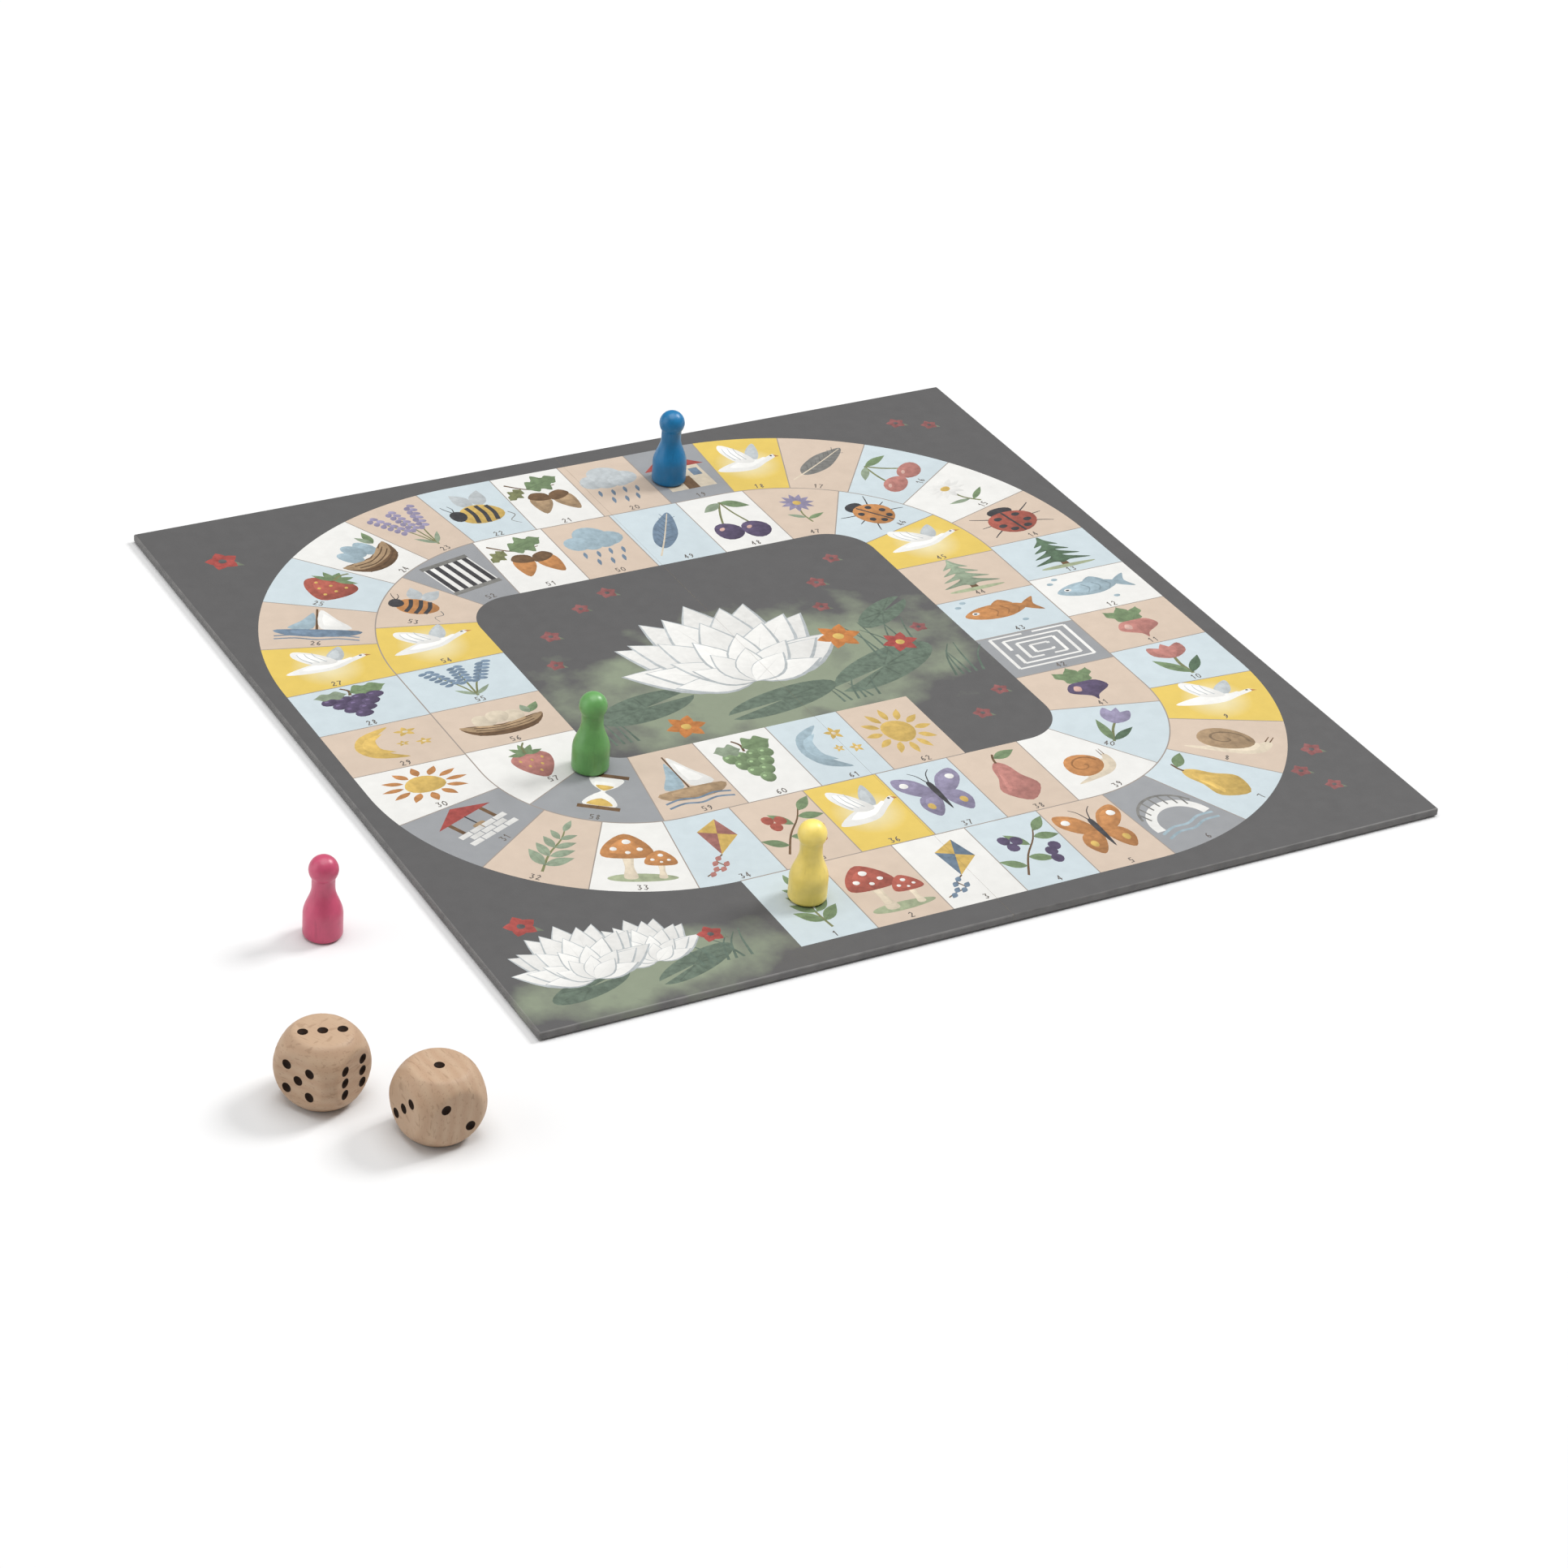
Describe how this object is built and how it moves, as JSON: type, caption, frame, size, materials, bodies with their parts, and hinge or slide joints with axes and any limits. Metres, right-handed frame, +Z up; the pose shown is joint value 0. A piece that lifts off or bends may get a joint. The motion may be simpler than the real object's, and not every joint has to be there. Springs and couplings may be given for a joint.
{
  "type": "game of the goose board",
  "caption": "Square folding board for the game of the goose, with a spiral track on its face, turned wooden pawns and ball-cornered wooden dice.",
  "frame": {"origin": "middle of the board's fold line, on the plane that the board lies on", "axes": "+Z up out of the playing face, +Y along the fold line, +X from the fixed half to the half that folds"},
  "size_m": [0.3635, 0.3249, 0.0277],
  "materials": {
    "greyboard": "matte",
    "print_sheet": "satin",
    "liner": "matte",
    "hinge_tape": "matte",
    "pawn_blue": "satin",
    "pawn_green": "satin",
    "pawn_yellow": "satin",
    "pawn_pink": "satin",
    "die": "matte"
  },
  "bodies": {
    "west_half": {"greyboard_west": "greyboard", "print_sheet_west": "print_sheet", "liner_west": "liner", "hinge_tape_west": "hinge_tape"},
    "east_half": {"greyboard_east": "greyboard", "print_sheet_east": "print_sheet", "liner_east": "liner", "hinge_tape_east": "hinge_tape"},
    "pawn_blue": {"pawn_blue": "pawn_blue"},
    "pawn_green": {"pawn_green": "pawn_green"},
    "pawn_yellow": {"pawn_yellow": "pawn_yellow"},
    "pawn_pink": {"pawn_pink": "pawn_pink"},
    "die_1": {"die_1": "die"},
    "die_2": {"die_2": "die"}
  },
  "joints": [
    {"name": "board_fold", "type": "hinge", "parent": "west_half", "child": "east_half", "pos_m": [0, 0, -0.00015], "axis": [0, 1, 0], "range_deg": [0, 180]},
    {"name": "pawn_blue_lift", "type": "slide", "parent": "east_half", "child": "pawn_blue", "axis": [0, 0, 1], "range_m": [0, 0.06]},
    {"name": "pawn_green_lift", "type": "slide", "parent": "west_half", "child": "pawn_green", "axis": [0, 0, 1], "range_m": [0, 0.06]},
    {"name": "pawn_yellow_lift", "type": "slide", "parent": "west_half", "child": "pawn_yellow", "axis": [0, 0, 1], "range_m": [0, 0.06]},
    {"name": "pawn_pink_lift", "type": "slide", "parent": "west_half", "child": "pawn_pink", "axis": [0, 0, 1], "range_m": [0, 0.06]},
    {"name": "die_1_lift", "type": "slide", "parent": "west_half", "child": "die_1", "axis": [0, 0, 1], "range_m": [0, 0.06]},
    {"name": "die_2_lift", "type": "slide", "parent": "west_half", "child": "die_2", "axis": [0, 0, 1], "range_m": [0, 0.06]}
  ]
}
